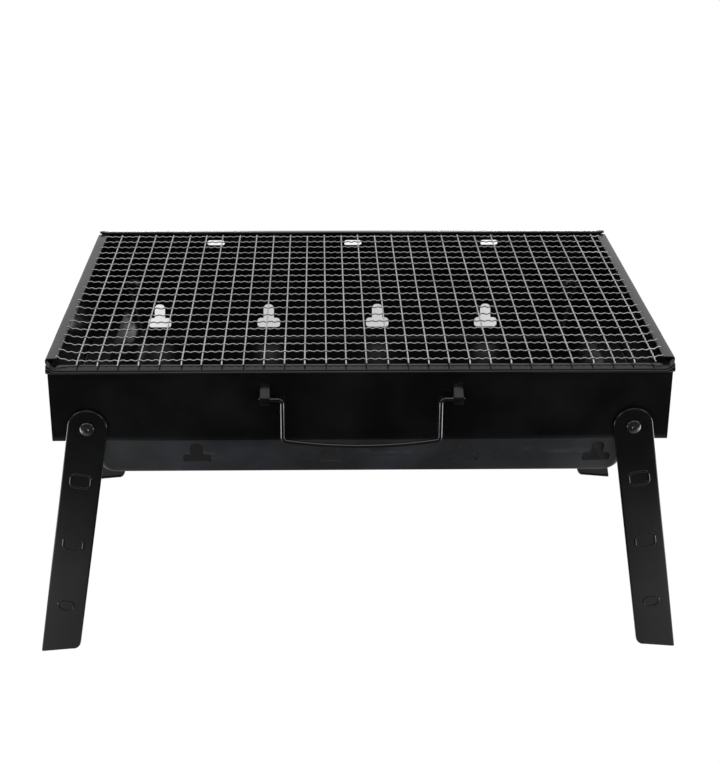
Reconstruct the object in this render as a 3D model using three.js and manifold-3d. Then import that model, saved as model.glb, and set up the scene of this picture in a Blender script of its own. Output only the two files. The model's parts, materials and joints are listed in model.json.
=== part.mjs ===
// Folding camp grill: a black enamelled sheet-steel fire box on four folding legs, with a wire
// cooking net on top and a wire carrying handle on the front.
// Millimetres. X runs along the length, the handle side faces -Y, Z is up. The origin is on the
// ground, under the centre of the fire box.
import * as THREE from 'three';
import { mergeVertices } from 'three/addons/utils/BufferGeometryUtils.js';
import { ParametricGeometry } from 'three/addons/geometries/ParametricGeometry.js';
import Module from 'manifold-3d';

const wasm = await Module();
wasm.setup();

// ---- Driving dimensions -------------------------------------------------------------------
const RAIL_LENGTH = 350;        // length of the front and rear rims
const BOX_DEPTH = 246.5;         // over the beads of the front and rear rims
const RIM_Z = 189;              // top of the rim, with the legs open
const WALL_BOTTOM_Z = 141;      // lower edge of the box walls
const PAN_BOTTOM_Z = 113.7;      // underside of the fire pan
const SHEET = 1;                // thickness of the box and pan sheet
const GAP = 0.3;                // clearance between neighbouring pieces

// Rim of the long walls: an outward bead, then a ledge that carries the cooking net.
const BEAD_OUT = 2.5;           // how far the bead stands proud of the wall
const BEAD_RADIUS = 2.7;        // to the middle of the sheet
const LEDGE_INNER = 4.6;        // ledge edge, measured inwards from the wall's outer face
const LEDGE_LIP = 1.4;          // turned-down edge of the ledge
const WALL_HALF_LENGTH = 174.4;

// End walls.
const END_WALL_X = 173.5;       // outer face
const END_BEAD_OUT = 2.8;
const END_BEAD_HEIGHT = 4;      // the wall steps out to its bead this far below the rim
const END_FLANGE_INNER_X = 169.6;
const END_FLANGE_HALF = 114.7;   // half length of the top flange
const END_SHELF_INNER_X = 161;  // the bottom flange that carries the pan
const TAB_WIDTH = 29;           // corner tab, riveted behind the long wall
const TAB_BOTTOM_Z = 144.3;
const TAB_TOP_Z = 180;
const TAB_CUT = { bottom: 4, top: 8 };  // cut-off inner corners of the tab

// Fire pan: half sizes at the flat bottom and at the top of its sloping sides.
const PAN_BOTTOM_HALF = [149, 105.7];
const PAN_TOP_HALF = [158, 118.9];
const PAN_LIP_HALF = [171.2, 119.2];
const PAN_EDGE_RADIUS = [11, 3];  // bottom edge at the ends, and along the long sides
const PAN_CORNER_RADIUS = 10;
const PAN_LIP_CORNER = 4;

// T-shaped air vents in the pan's long sides, and slots under the rear rim.
const VENT_PITCH = 76.7;
const VENT_FIRST_X = -94;
const VENT_COUNT = 4;
const VENT_BASE = { width: 16, bottom: 122.3, top: 128.6, radius: 2.4 };
const VENT_STEM = { width: 7.3, bottom: 123.3, top: 137.3, radius: 3 };
const SLOT_SIZE = [12, 3.6];
const SLOT_X = [-95.5, 0, 95.5];
const SLOT_Z = 181.2;

// Legs: pressed strips with a turned-back edge.
const PIVOT_X = 154;
const PIVOT_Z = 150;
const LEG_WIDTH = 22.5;
const LEG_FACE = 1.2;           // thickness of the face
const LEG_FLANGE = 1;           // depth of the turned-back edge
const LEG_WALL_GAP = 0.9;       // between the wall and the leg's turned-back edge
const LEG_SPLAY = THREE.MathUtils.degToRad(9.8);
const LEG_TILT = THREE.MathUtils.degToRad(2.5);  // the feet stand in from the long walls
const FOOT_CUT = THREE.MathUtils.degToRad(15);
const FOOT_INNER_RADIUS = 4;
const BEAD_HEIGHT = 0.5;        // pressed stiffening rings on the leg's face
const BEAD_RING = 1.5;
const LEG_BEADS = [
  { below: 34, width: 12.5, height: 9.5, radius: 3.2 },
  { below: 76, width: 12.5, height: 9.5, radius: 3.2 },
  { below: 119, width: 10, height: 7.6, radius: 3.8 },
];

// Leg rivets and washers.
const RIVET_RADIUS = 2;
const RIVET_HOLE = RIVET_RADIUS + GAP;
const RIVET_HEAD = { radius: 4.1, height: 2 };
const RIVET_TAIL = { radius: 3.6, height: 1.2 };
const SPACER = { radius: 7, thickness: 0.8 };
const WASHER = { radius: 5.5, thickness: 1 };

// Handle: a wire bail in two curled tongues.
const BAIL_WIRE = 1.2;          // wire radius
const BAIL_AXIS_Z = 168.3;
const BAIL_STAND_OFF = 5.5;     // pivot line, in front of the wall
const BAIL_SIDE_X = 44.4;
const BAIL_END_X = 57.6;
const BAIL_CORNER = 2.4;
const BAIL_DROP = 26.3;
const BAIL_BOW = 2.8;           // the grip sags this much in the middle
const TONGUE_X = 54;
const TONGUE_WIDTH = 5.4;
const TONGUE_INNER = 2.2;       // inner radius of the curl
const TONGUE_ROOT_Z = 174.8;    // the tongue bends out of the wall here
const WINDOW_BOTTOM_Z = 163.5;  // opening that the tongue was cut from

// Cooking net, in half as many wires as the real net: each solid wire stands for two.
const NET_WIRE = 1.5;
const NET_HALF_LENGTH = 171;
const NET_FRONT_Y = -120.2;
const NET_REAR_Y = 109.2;
const NET_LONG_WIRES = { first: 105.4, pitch: 22.4, count: 11 };
const NET_CROSS_WIRES = { first: -158.4, pitch: 23.06, count: 15 };

// Values that follow from the driving dimensions.
const WALL_FACE = BOX_DEPTH / 2 - BEAD_OUT;          // outer face of the long walls
const TAB_FACE = WALL_FACE - SHEET - GAP;            // outer face of the corner tabs
const LEG_BACK = WALL_FACE + LEG_WALL_GAP;           // back edge of the leg's flange
const LEG_FRONT = LEG_BACK + LEG_FLANGE + LEG_FACE;  // leg's outer face
const LEG_PLANE = (LEG_BACK + LEG_FRONT) / 2;
// The leg's length from the pivot along its outer edge, so that the foot's corner meets the ground.
const LEG_REACH = (PIVOT_Z - (LEG_FRONT - LEG_PLANE) * Math.sin(LEG_TILT)) / Math.cos(LEG_TILT);
const LEG_LENGTH = (LEG_REACH + LEG_WIDTH / 2 * Math.sin(LEG_SPLAY)) / Math.cos(LEG_SPLAY);
const BAIL_Y = -(WALL_FACE + BAIL_STAND_OFF);
const PAN_LIP_Z = WALL_BOTTOM_Z + SHEET + GAP;       // underside of the pan's lip
const THROUGH_REAR = [100, 140];                     // a cutter's Y range: tab, wall and leg
const THROUGH_PAN_FRONT = [-130, -90];

// ---- Materials ----------------------------------------------------------------------------
function enamel() {
  return new THREE.MeshStandardMaterial({ color: 0x0e0f10, roughness: 0.28, metalness: 0 });
}

function zinc() {
  return new THREE.MeshStandardMaterial({ color: 0xc4c7ca, roughness: 0.3, metalness: 1 });
}

function blackWire() {
  return new THREE.MeshStandardMaterial({ color: 0x1a1b1d, roughness: 0.22, metalness: 0.6 });
}

// ---- Solids -------------------------------------------------------------------------------
// A closed three.js geometry as a solid that can be joined and cut.
function solid(geometry) {
  const bare = geometry.clone();
  bare.deleteAttribute('normal');
  bare.deleteAttribute('uv');
  const merged = mergeVertices(bare, 1e-4);
  const index = Array.from(merged.index.array);
  const triVerts = [];
  for (let i = 0; i < index.length; i += 3) {
    const [a, b, c] = index.slice(i, i + 3);
    if (a !== b && b !== c && c !== a) triVerts.push(a, b, c);
  }
  return new wasm.Manifold(new wasm.Mesh({
    numProp: 3,
    vertProperties: new Float32Array(merged.attributes.position.array),
    triVerts: new Uint32Array(triVerts),
  }));
}

function joined(solids) {
  return solids.reduce((sum, next) => sum.add(next));
}

function cut(body, tools) {
  return tools.reduce((rest, tool) => rest.subtract(tool), body);
}

function geometryOf(manifold) {
  const mesh = manifold.getMesh();
  const geometry = new THREE.BufferGeometry();
  geometry.setAttribute('position', new THREE.BufferAttribute(new Float32Array(mesh.vertProperties), 3));
  geometry.setIndex(new THREE.BufferAttribute(new Uint32Array(mesh.triVerts), 1));
  geometry.computeVertexNormals();
  return geometry;
}

function box(low, high) {
  const size = high.map((value, i) => value - low[i]);
  const geometry = new THREE.BoxGeometry(...size);
  geometry.translate(...low.map((value, i) => value + size[i] / 2));
  return solid(geometry);
}

// A shape drawn in (Y, Z), pulled along X.
function alongX(shape, fromX, toX) {
  const geometry = new THREE.ExtrudeGeometry(shape, { depth: toX - fromX, bevelEnabled: false });
  const turn = new THREE.Matrix4().makeBasis(
    new THREE.Vector3(0, 1, 0), new THREE.Vector3(0, 0, 1), new THREE.Vector3(1, 0, 0));
  geometry.applyMatrix4(turn);
  geometry.translate(fromX, 0, 0);
  return solid(geometry);
}

// A shape drawn in (X, Z), pulled along Y.
function alongY(shape, fromY, toY, curveSegments = 12) {
  const settings = { depth: toY - fromY, bevelEnabled: false, curveSegments };
  const geometry = new THREE.ExtrudeGeometry(shape, settings);
  const turn = new THREE.Matrix4().makeBasis(
    new THREE.Vector3(1, 0, 0), new THREE.Vector3(0, 0, 1), new THREE.Vector3(0, -1, 0));
  geometry.applyMatrix4(turn);
  geometry.translate(0, toY, 0);
  return solid(geometry);
}

// A round piece on a Y axis through (x, z): profile points are (radius, y).
function turnedOnY(profile, x, z, segments) {
  const points = profile.map(([radius, y]) => new THREE.Vector2(radius, y));
  const geometry = new THREE.LatheGeometry(points, segments);
  geometry.translate(x, 0, z);
  return solid(geometry);
}

function mirroredY(body) {
  return body.mirror([0, 1, 0]);
}

// The outline of a folded sheet: a path of points along the middle of the sheet, made thick.
function sheetShape(path, thickness) {
  const points = path.map(([x, y]) => new THREE.Vector2(x, y));
  const directions = points.slice(1).map((point, i) => point.clone().sub(points[i]).normalize());
  const sides = [1, -1].map((side) => points.map((point, i) => {
    const before = directions[Math.max(i - 1, 0)];
    const after = directions[Math.min(i, directions.length - 1)];
    const mitre = before.clone().add(after).normalize();
    const reach = side * thickness / 2 / mitre.dot(after);
    return new THREE.Vector2(point.x - mitre.y * reach, point.y + mitre.x * reach);
  }));
  return new THREE.Shape([...sides[0], ...sides[1].reverse()]);
}

function arcPoints(cx, cy, radius, fromDegrees, toDegrees, steps) {
  return Array.from({ length: steps + 1 }, (_, i) => {
    const angle = THREE.MathUtils.degToRad(fromDegrees + (toDegrees - fromDegrees) * i / steps);
    return [cx + radius * Math.cos(angle), cy + radius * Math.sin(angle)];
  });
}

function roundedRect(cx, cy, width, height, radius) {
  const [x, y] = [cx - width / 2, cy - height / 2];
  const shape = new THREE.Shape();
  shape.moveTo(x + radius, y);
  shape.lineTo(x + width - radius, y);
  shape.absarc(x + width - radius, y + radius, radius, -Math.PI / 2, 0);
  shape.lineTo(x + width, y + height - radius);
  shape.absarc(x + width - radius, y + height - radius, radius, 0, Math.PI / 2);
  shape.lineTo(x + radius, y + height);
  shape.absarc(x + radius, y + height - radius, radius, Math.PI / 2, Math.PI);
  shape.lineTo(x, y + radius);
  shape.absarc(x + radius, y + radius, radius, Math.PI, Math.PI * 1.5);
  return shape;
}

function circle(x, y, radius) {
  return new THREE.Shape().absarc(x, y, radius, 0, Math.PI * 2);
}

// ---- Long walls ---------------------------------------------------------------------------
// Drawn for the rear wall, which faces +Y; the front wall is its mirror image.
function longWall() {
  const middle = WALL_FACE - SHEET / 2;
  const beadY = WALL_FACE + BEAD_OUT - SHEET / 2 - BEAD_RADIUS;
  const beadZ = RIM_Z - SHEET / 2 - BEAD_RADIUS;
  const foot = beadZ - BEAD_RADIUS * Math.sin(Math.PI / 3);
  const plate = sheetShape([[middle, WALL_BOTTOM_Z], [middle, foot]], SHEET);
  const rim = sheetShape([
    [middle, foot - SHEET],
    ...arcPoints(beadY, beadZ, BEAD_RADIUS, -60, 90, 8),
    [WALL_FACE - LEDGE_INNER + SHEET / 2, RIM_Z - SHEET / 2],
    [WALL_FACE - LEDGE_INNER + SHEET / 2, RIM_Z - LEDGE_LIP],
  ], SHEET);
  return joined([
    alongX(plate, -WALL_HALF_LENGTH, WALL_HALF_LENGTH),
    alongX(rim, -RAIL_LENGTH / 2, RAIL_LENGTH / 2),
  ]);
}

function pivotHoles() {
  return [-PIVOT_X, PIVOT_X].map((x) => alongY(circle(x, PIVOT_Z, RIVET_HOLE), ...THROUGH_REAR, 7));
}

function rearWall() {
  const [width, height] = SLOT_SIZE;
  const shapes = SLOT_X.map((x) => roundedRect(x, SLOT_Z, width, height, height / 2.1));
  const slots = shapes.map((shape) => alongY(shape, ...THROUGH_REAR, 3));
  return cut(longWall(), [...pivotHoles(), ...slots]);
}

// A tongue cut from the wall, bent out and down, and curled under the handle wire.
function tongue(x) {
  const middle = -WALL_FACE + SHEET / 2;
  const curl = arcPoints(BAIL_Y, BAIL_AXIS_Z, TONGUE_INNER + SHEET / 2, 120, 320, 9);
  const shape = sheetShape([[middle, TONGUE_ROOT_Z + SHEET], [middle, TONGUE_ROOT_Z], ...curl], SHEET);
  return alongX(shape, x - TONGUE_WIDTH / 2, x + TONGUE_WIDTH / 2);
}

function frontWall() {
  const plain = cut(mirroredY(longWall()), pivotHoles().map(mirroredY));
  const half = TONGUE_WIDTH / 2;
  const windows = [-TONGUE_X, TONGUE_X].map((x) => box(
    [x - half, -WALL_FACE - SHEET, WINDOW_BOTTOM_Z],
    [x + half, -WALL_FACE + 2 * SHEET, TONGUE_ROOT_Z]));
  return joined([cut(plain, windows), tongue(-TONGUE_X), tongue(TONGUE_X)]);
}

// ---- End walls ----------------------------------------------------------------------------
function endWall(side) {
  const middle = END_WALL_X - SHEET / 2;
  const beadX = middle + END_BEAD_OUT;
  const profile = sheetShape([
    [END_SHELF_INNER_X, WALL_BOTTOM_Z + SHEET / 2],
    [middle, WALL_BOTTOM_Z + SHEET / 2],
    [middle, RIM_Z - END_BEAD_HEIGHT],
    [beadX, RIM_Z - END_BEAD_HEIGHT + END_BEAD_OUT],
    [beadX, RIM_Z - SHEET / 2],
    [END_FLANGE_INNER_X, RIM_Z - SHEET / 2],
  ], SHEET);
  const corner = TAB_FACE - SHEET;
  // The top flange and its bead stop short of the long walls, and so does the shelf.
  const rimEnd = box(
    [END_FLANGE_INNER_X - SHEET, END_FLANGE_HALF, RIM_Z - END_BEAD_HEIGHT - GAP],
    [END_WALL_X + 2 * END_BEAD_OUT, BOX_DEPTH, RIM_Z + SHEET]);
  const shelfEnd = box(
    [END_SHELF_INNER_X - SHEET, corner - GAP, WALL_BOTTOM_Z - SHEET],
    [END_WALL_X - SHEET, BOX_DEPTH, WALL_BOTTOM_Z + 2 * SHEET]);
  const ends = [rimEnd, shelfEnd, mirroredY(rimEnd), mirroredY(shelfEnd)];
  const wall = cut(alongY(profile, -TAB_FACE, TAB_FACE), ends);
  const tabEdge = END_WALL_X - TAB_WIDTH;
  const tab = new THREE.Shape([
    [tabEdge, TAB_BOTTOM_Z + TAB_CUT.bottom], [tabEdge + TAB_CUT.bottom, TAB_BOTTOM_Z],
    [middle, TAB_BOTTOM_Z], [middle, TAB_TOP_Z],
    [tabEdge + TAB_CUT.top, TAB_TOP_Z], [tabEdge, TAB_TOP_Z - TAB_CUT.top],
  ].map(([x, z]) => new THREE.Vector2(x, z)));
  const hole = alongY(circle(PIVOT_X, PIVOT_Z, RIVET_HOLE), ...THROUGH_REAR, 7);
  const rearTab = cut(alongY(tab, corner, TAB_FACE), [hole]);
  const whole = joined([wall, rearTab, mirroredY(rearTab)]);
  return side > 0 ? whole : whole.mirror([1, 0, 0]);
}

// ---- Fire pan -----------------------------------------------------------------------------
// Half size of the pan at a height above its flat bottom, rounded where it meets the bottom.
function panHalf(axis, height) {
  const slope = (PAN_TOP_HALF[axis] - PAN_BOTTOM_HALF[axis]) / (PAN_LIP_Z - PAN_BOTTOM_Z);
  const radius = PAN_EDGE_RADIUS[axis];
  const rise = Math.max(radius - height, 0);
  return PAN_BOTTOM_HALF[axis] + slope * height - (radius - Math.sqrt(radius ** 2 - rise ** 2));
}

// One ring of the pan's skin: half sizes, corner radius and height.
function panRing(height, inset, lift) {
  return {
    a: panHalf(0, height) - inset,
    b: panHalf(1, height) - inset,
    r: PAN_CORNER_RADIUS - inset,
    z: PAN_BOTTOM_Z + lift + height,
  };
}

function firePan() {
  const heights = [0, 0.5, 1.5, 3, 5.5, 8.5, 11, PAN_LIP_Z - PAN_BOTTOM_Z];
  const outer = heights.map((height) => panRing(height, 0, 0));
  const inner = heights.map((height) => panRing(height, SHEET, SHEET));
  const [a, b] = PAN_LIP_HALF;
  const lip = [PAN_LIP_Z, PAN_LIP_Z + SHEET].map((z) => ({ a, b, r: PAN_LIP_CORNER, z }));
  const pole = (z) => ({ a: 0, b: 0, r: 0, z });
  const rings = [
    pole(PAN_BOTTOM_Z), ...outer, ...lip, ...inner.reverse(), pole(PAN_BOTTOM_Z + SHEET),
  ];
  const perCorner = 5;
  const around = 4 * (perCorner + 1);
  // u walks round the ring, corner by corner; v walks from the underside to the inside.
  const point = (u, v, target) => {
    const ring = rings[Math.round(v * (rings.length - 1))];
    const step = Math.round(u * around) % around;
    const corner = Math.floor(step / (perCorner + 1));
    const angle = (corner + (step % (perCorner + 1)) / perCorner) * Math.PI / 2;
    const signX = corner === 0 || corner === 3 ? 1 : -1;
    const signY = corner < 2 ? 1 : -1;
    target.set(
      signX * (ring.a - ring.r) + ring.r * Math.cos(angle),
      signY * (ring.b - ring.r) + ring.r * Math.sin(angle),
      ring.z);
  };
  const skin = new ParametricGeometry(point, around, rings.length - 1);
  const body = solid(skin);
  const vents = Array.from({ length: VENT_COUNT }, (_, i) => ventCutter(VENT_FIRST_X + i * VENT_PITCH));
  return cut(body, vents.flatMap((vent) => [vent, vent.mirror([1, 0, 0]).mirror([0, 1, 0])]));
}

// A T-shaped vent, cut through the front of the pan.
function ventCutter(x) {
  const shapes = [VENT_BASE, VENT_STEM].map(({ width, bottom, top, radius }) => (
    roundedRect(x, (bottom + top) / 2, width, top - bottom, radius)));
  return joined(shapes.map((shape) => alongY(shape, ...THROUGH_PAN_FRONT, 2)));
}

// ---- Legs ---------------------------------------------------------------------------------
// The leg's outline, grown by "grow", in a frame with the pivot at the origin. +X is the side
// that ends up outermost.
function legShape(grow) {
  const w = LEG_WIDTH / 2 + grow;
  const inner = -LEG_LENGTH + LEG_WIDTH * Math.tan(FOOT_CUT) - grow;
  const outer = -LEG_LENGTH - grow;
  const r = FOOT_INNER_RADIUS;
  const shape = new THREE.Shape();
  shape.moveTo(w, outer);
  shape.lineTo(w, 0);
  shape.absarc(0, 0, w, 0, Math.PI);
  shape.lineTo(-w, inner + r);
  shape.quadraticCurveTo(-w, inner, -w + r, inner - r * Math.tan(FOOT_CUT));
  return shape;
}

function legBead({ below, width, height, radius }) {
  const ring = roundedRect(0, -below, width, height, radius);
  const inner = roundedRect(0, -below, width - 2 * BEAD_RING, height - 2 * BEAD_RING, radius - BEAD_RING);
  return cut(
    alongY(ring, LEG_FRONT - SHEET / 2, LEG_FRONT + BEAD_HEIGHT, 2),
    [alongY(inner, LEG_FRONT - SHEET, LEG_FRONT + SHEET, 2)]);
}

// A leg of the rear right corner; the others are its mirror images.
function leg(sideX, sideY) {
  const tray = cut(
    alongY(legShape(0), LEG_BACK, LEG_FRONT, 8),
    [alongY(legShape(-LEG_FACE), LEG_BACK - 1, LEG_BACK + LEG_FLANGE, 8)]);
  const hole = alongY(circle(0, 0, RIVET_HOLE), ...THROUGH_REAR, 7);
  const upright = cut(joined([tray, ...LEG_BEADS.map(legBead)]), [hole]);
  const splayed = upright.rotate([0, -THREE.MathUtils.radToDeg(LEG_SPLAY), 0]);
  const tilted = splayed.translate([0, -LEG_PLANE, 0]).rotate([-THREE.MathUtils.radToDeg(LEG_TILT), 0, 0]);
  const placed = tilted.translate([PIVOT_X, LEG_PLANE, PIVOT_Z]);
  const acrossX = sideX > 0 ? placed : placed.mirror([1, 0, 0]);
  return sideY > 0 ? acrossX : mirroredY(acrossX);
}

// The pivot rivet: domed head outside the leg, shank, and a peened tail inside the box.
function legRivet() {
  const underHead = LEG_FRONT + GAP;
  const tailFace = TAB_FACE - SHEET - WASHER.thickness - 2 * GAP;
  const { radius, height } = RIVET_HEAD;
  const dome = arcPoints(0, underHead, 1, 0, 90, 6).map(([x, y]) => [
    x * radius, underHead + (y - underHead) * height,
  ]);
  return [
    [0, tailFace - RIVET_TAIL.height],
    [RIVET_TAIL.radius * 0.8, tailFace - RIVET_TAIL.height],
    [RIVET_TAIL.radius, tailFace],
    [RIVET_RADIUS, tailFace],
    [RIVET_RADIUS, underHead],
    ...dome.slice(0, -1),
    [0, underHead + height],
  ];
}

function ringProfile(hole, radius, fromY, toY) {
  return [[hole, fromY], [radius, fromY], [radius, toY], [hole, toY], [hole, fromY]];
}

function legSpacer() {
  const from = WALL_FACE + GAP;
  return ringProfile(RIVET_HOLE, SPACER.radius, from, from + SPACER.thickness);
}

function innerWasher() {
  const to = TAB_FACE - SHEET - GAP;
  return ringProfile(RIVET_HOLE, WASHER.radius, to - WASHER.thickness, to);
}

// ---- Handle -------------------------------------------------------------------------------
function handleBail() {
  const bottom = BAIL_AXIS_Z - BAIL_DROP;
  const shoulder = bottom - BAIL_BOW * 0.12;  // where the corner of the grip ends
  const sag = bottom - BAIL_BOW * 1.1;        // height of the control points of the bowed grip
  const at = (x, z) => new THREE.Vector3(x, BAIL_Y, z);
  const path = new THREE.CurvePath();
  const corner = (from, middle, to) => path.add(new THREE.QuadraticBezierCurve3(from, middle, to));
  const line = (from, to) => path.add(new THREE.LineCurve3(from, to));
  const [x, end, c] = [BAIL_SIDE_X, BAIL_END_X, BAIL_CORNER];
  line(at(-end, BAIL_AXIS_Z), at(-x - c, BAIL_AXIS_Z));
  corner(at(-x - c, BAIL_AXIS_Z), at(-x, BAIL_AXIS_Z), at(-x, BAIL_AXIS_Z - c));
  line(at(-x, BAIL_AXIS_Z - c), at(-x, bottom + c));
  corner(at(-x, bottom + c), at(-x, bottom), at(-x + c, shoulder));
  path.add(new THREE.CubicBezierCurve3(
    at(-x + c, shoulder), at(-x / 2, sag), at(x / 2, sag), at(x - c, shoulder)));
  corner(at(x - c, shoulder), at(x, bottom), at(x, bottom + c));
  line(at(x, bottom + c), at(x, BAIL_AXIS_Z - c));
  corner(at(x, BAIL_AXIS_Z - c), at(x, BAIL_AXIS_Z), at(x + c, BAIL_AXIS_Z));
  line(at(x + c, BAIL_AXIS_Z), at(end, BAIL_AXIS_Z));
  const section = new THREE.Shape().absarc(0, 0, BAIL_WIRE, 0, Math.PI * 2);
  const settings = { steps: 64, curveSegments: 4, extrudePath: path, bevelEnabled: false };
  return solid(new THREE.ExtrudeGeometry(section, settings));
}

// ---- Cooking net --------------------------------------------------------------------------
function cookingNet() {
  const low = RIM_Z + GAP;
  const high = low + NET_WIRE;
  const half = NET_WIRE / 2;
  const inset = 0.1;            // the long wires are this much thinner, above and below
  const long = Array.from({ length: NET_LONG_WIRES.count }, (_, i) => {
    const y = NET_LONG_WIRES.first - i * NET_LONG_WIRES.pitch;
    return box([-NET_HALF_LENGTH, y - half, low + inset], [NET_HALF_LENGTH, y + half, high - inset]);
  });
  const cross = Array.from({ length: NET_CROSS_WIRES.count }, (_, i) => {
    const x = NET_CROSS_WIRES.first + i * NET_CROSS_WIRES.pitch;
    return box([x - half, NET_FRONT_Y, low], [x + half, NET_REAR_Y, high]);
  });
  return joined([...long, ...cross]);
}

// ---- Assembly -----------------------------------------------------------------------------
const grill = new THREE.Group();

function add(name, body, material, parent = grill) {
  const mesh = new THREE.Mesh(geometryOf(body), material);
  mesh.name = name;
  parent.add(mesh);
}

add('front_wall', frontWall(), enamel());
add('rear_wall', rearWall(), enamel());
add('right_end_wall', endWall(1), enamel());
add('left_end_wall', endWall(-1), enamel());
add('fire_pan', firePan(), enamel());
add('handle_bail', handleBail(), blackWire());
add('cooking_net', cookingNet(), zinc());

for (const [rank, sideY] of [['front', -1], ['rear', 1]]) {
  for (const [hand, sideX] of [['left', -1], ['right', 1]]) {
    const corner = new THREE.Group();
    grill.add(corner);
    const name = `${rank}_${hand}`;
    const place = (profile, segments) => {
      const body = turnedOnY(profile, sideX * PIVOT_X, PIVOT_Z, segments);
      return sideY > 0 ? body : mirroredY(body);
    };
    add(`${name}_leg`, leg(sideX, sideY), enamel(), corner);
    add(`${name}_leg_rivet`, place(legRivet(), 16), enamel(), corner);
    add(`${name}_leg_spacer`, place(legSpacer(), 16), enamel(), corner);
    add(`${name}_inner_washer`, place(innerWasher(), 16), zinc(), corner);
  }
}

export default grill;
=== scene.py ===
"""Looks of a folding camp grill: black enamelled fire box and legs, a zinc net and a wire handle.

Metres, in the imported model's own frame: X along the length, the handle side faces -Y, Z is up.
"""
import json
import math
import random

import bmesh
import bpy
from mathutils import Matrix, Vector, noise

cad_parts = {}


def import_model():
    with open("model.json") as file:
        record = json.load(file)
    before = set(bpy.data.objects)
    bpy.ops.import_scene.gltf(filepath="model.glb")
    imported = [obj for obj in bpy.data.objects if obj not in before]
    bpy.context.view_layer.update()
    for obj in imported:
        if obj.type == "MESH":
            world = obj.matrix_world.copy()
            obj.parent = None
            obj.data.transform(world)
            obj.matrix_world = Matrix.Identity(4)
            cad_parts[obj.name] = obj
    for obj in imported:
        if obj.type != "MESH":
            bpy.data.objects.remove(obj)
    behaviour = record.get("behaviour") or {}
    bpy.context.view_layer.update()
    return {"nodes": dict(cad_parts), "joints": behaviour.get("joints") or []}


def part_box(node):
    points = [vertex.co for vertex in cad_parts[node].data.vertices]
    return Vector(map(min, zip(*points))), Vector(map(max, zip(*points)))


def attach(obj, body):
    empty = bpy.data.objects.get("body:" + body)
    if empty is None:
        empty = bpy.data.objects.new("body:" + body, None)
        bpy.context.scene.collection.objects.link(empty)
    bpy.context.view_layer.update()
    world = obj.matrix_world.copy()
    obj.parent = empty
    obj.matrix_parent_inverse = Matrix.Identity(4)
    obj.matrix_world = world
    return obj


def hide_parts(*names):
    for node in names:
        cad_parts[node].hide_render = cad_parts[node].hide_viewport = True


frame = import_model()

MM = 0.001
random.seed(7)

# ---- Sizes read from the frame ------------------------------------------------------------------
rear_low, rear_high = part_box("rear_wall")
end_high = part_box("right_end_wall")[1]
pan_low, pan_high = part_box("fire_pan")
net_low, net_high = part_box("cooking_net")
bail_low, bail_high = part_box("handle_bail")
rivet_low, rivet_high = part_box("rear_right_leg_rivet")
joints = {joint["name"]: joint for joint in frame["joints"]}

RIM_TOP = rear_high.z
WALL_BOTTOM = rear_low.z
RIM_OUT = rear_high.y
RAIL_HALF = rear_high.x
PIVOT = Vector(joints["rear_right_leg_fold"]["pos_m"])
BAIL_AXIS = Vector(joints["handle_swing"]["pos_m"])

# ---- Sheet metal --------------------------------------------------------------------------------
SHEET = 1.0 * MM
GAP = 0.3 * MM
BEAD_OUT = 2.5 * MM                # the rim's bead stands this far proud of the wall
# The two faces of the rim's sheet in section, from the wall over a rolled edge and a groove to the
# flat ledge: (out from the wall, down from the top), in mm.
RIM_OUTSIDE = (
    (0.0, 6.9), (0.35, 6.7), (1.3, 6.65), (2.1, 6.4), (2.45, 6.0), (2.5, 5.7), (2.4, 5.45), (2.1, 5.25),
    (1.7, 5.1), (1.5, 5.05), (1.42, 4.85), (1.35, 4.5), (1.1, 4.38), (0.6, 4.3), (-1.0, 4.05),
    (-3.0, 3.75), (-4.7, 3.52), (-5.2, 3.6), (-5.45, 3.85), (-5.5, 4.7))
RIM_INSIDE = (
    (-1.0, 7.2), (-0.5, 6.6), (0.3, 6.3), (1.2, 6.15), (1.45, 6.0), (1.3, 5.9), (0.8, 5.7), (0.2, 5.3),
    (-1.6, 5.05), (-3.0, 4.8), (-4.3, 4.55), (-4.6, 4.5), (-4.6, 4.7))
REAR_RIM_LIFT = 4.8 * MM           # the rear rim stands this much higher than the front one
RIM_LIFT_GAIN = 1.5                # the rim's lower 1 / 1.5 stretches for this, the rest rises whole
RIM_END_RISE = (2.6 * MM, 0.5 * MM)  # the front and the rear ledge turn up at both ends
RIM_END_TURN = 5.0 * MM            # over this length
RIM_END_STEPS = 6
HEM = 0.35 * MM                    # the lower edge of a long wall is turned in by this much
WALL_HALF = RAIL_HALF - 0.6 * MM   # the wall below the rim is a little shorter than the rim
WALL_FACE = RIM_OUT - BEAD_OUT
WALL_STEPS = 110
WALL_RIPPLE = 0.12 * MM            # how far the thin sheet is from flat
RIPPLE_FADE = 8                    # power with which the ripple dies out to the ends of a wall
CUT_SPAN = (100 * MM, 140 * MM)    # a cut through a long wall or a leg runs from here to there
SLOT = (12 * MM, 3.6 * MM)
SLOT_X = (-95.5 * MM, 0.0, 95.5 * MM)
SLOT_Z = RIM_TOP - 7.8 * MM

# The tongues that hold the handle, cut from the front wall.
TONGUE_X = 54 * MM
TONGUE_WIDTH = 5.4 * MM
TONGUE_INNER = 2.2 * MM
TONGUE_ROOT = BAIL_AXIS.z + 6.5 * MM  # the tongue bends out of the wall here
WINDOW_BOTTOM = BAIL_AXIS.z - 4.8 * MM
WINDOW_RADIUS = 0.8 * MM

# The end walls: a shelf under the pan's lip, a wall, a rim and a flange at the top. Their tabs lie
# inside the long walls.
END_RIM_X = end_high.x
END_WALL_X = 173.5 * MM
END_FLANGE_INNER = 169.6 * MM
END_FLANGE_HALF = 114.7 * MM
END_SHELF_INNER = 161 * MM
END_WALL_STEPS = 60
TAB_WIDTH = 29 * MM
TAB_BOTTOM = WALL_BOTTOM + 3.3 * MM
TAB_TOP = WALL_BOTTOM + 39 * MM
TAB_FACE = WALL_FACE - SHEET - GAP

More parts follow.
